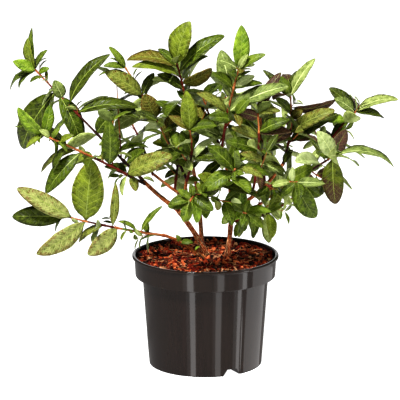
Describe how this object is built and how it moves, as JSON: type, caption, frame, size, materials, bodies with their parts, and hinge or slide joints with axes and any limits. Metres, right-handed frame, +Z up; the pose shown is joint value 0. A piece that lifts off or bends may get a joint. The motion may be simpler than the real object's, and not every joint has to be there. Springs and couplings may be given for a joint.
{
  "type": "potted honeyberry",
  "caption": "Young leafy berry bush in a round plastic nursery pot: slim stems rise from bark mulch and fork into spreading boughs with masses of oval leaves in pairs.",
  "frame": {"origin": "middle of the pot's flat underside", "axes": "+Z up along the pot, -Y towards the front of the picture, +X to its right"},
  "size_m": [0.4493, 0.292, 0.4016],
  "materials": {
    "black_plastic": "smooth moulded plastic, satin gloss",
    "pine_bark": "rough loose bark chips",
    "honeyberry_bark": "papery, peeling in strips",
    "dark_leaf": "soft satin leaf",
    "bronze_leaf": "soft satin leaf, mottled bronze",
    "young_leaf": "soft satin leaf, fresh green"
  },
  "bodies": {
    "root": {"pot": "black_plastic", "bark_mulch": "pine_bark", "stem_left": "honeyberry_bark", "stem_back": "honeyberry_bark", "stem_right": "honeyberry_bark", "low_branch": "honeyberry_bark", "bough_left": "honeyberry_bark", "bough_left_inner": "honeyberry_bark", "bough_top_right": "honeyberry_bark", "bough_right_front": "honeyberry_bark", "bough_right_back": "honeyberry_bark", "bough_far_right": "honeyberry_bark", "bough_back": "honeyberry_bark", "bough_back_left": "honeyberry_bark", "bough_front": "honeyberry_bark", "foliage_upper_left": "dark_leaf", "foliage_mid_left": "young_leaf", "foliage_low_left": "bronze_leaf", "foliage_high_left": "dark_leaf", "foliage_top": "bronze_leaf", "foliage_top_right": "young_leaf", "foliage_centre": "dark_leaf", "foliage_right_top": "bronze_leaf", "foliage_far_right_top": "dark_leaf", "foliage_far_right": "young_leaf", "foliage_right_front": "dark_leaf", "foliage_low_right": "dark_leaf", "foliage_front_left": "dark_leaf", "foliage_front_right": "dark_leaf", "foliage_front_centre": "dark_leaf", "foliage_centre_left": "dark_leaf", "foliage_inner_top": "dark_leaf", "foliage_inner_right": "dark_leaf", "foliage_back": "dark_leaf", "foliage_back_right": "dark_leaf", "foliage_back_left": "dark_leaf", "foliage_back_low_left": "dark_leaf", "foliage_back_top": "dark_leaf", "foliage_low_back_right": "dark_leaf"}
  },
  "joints": []
}
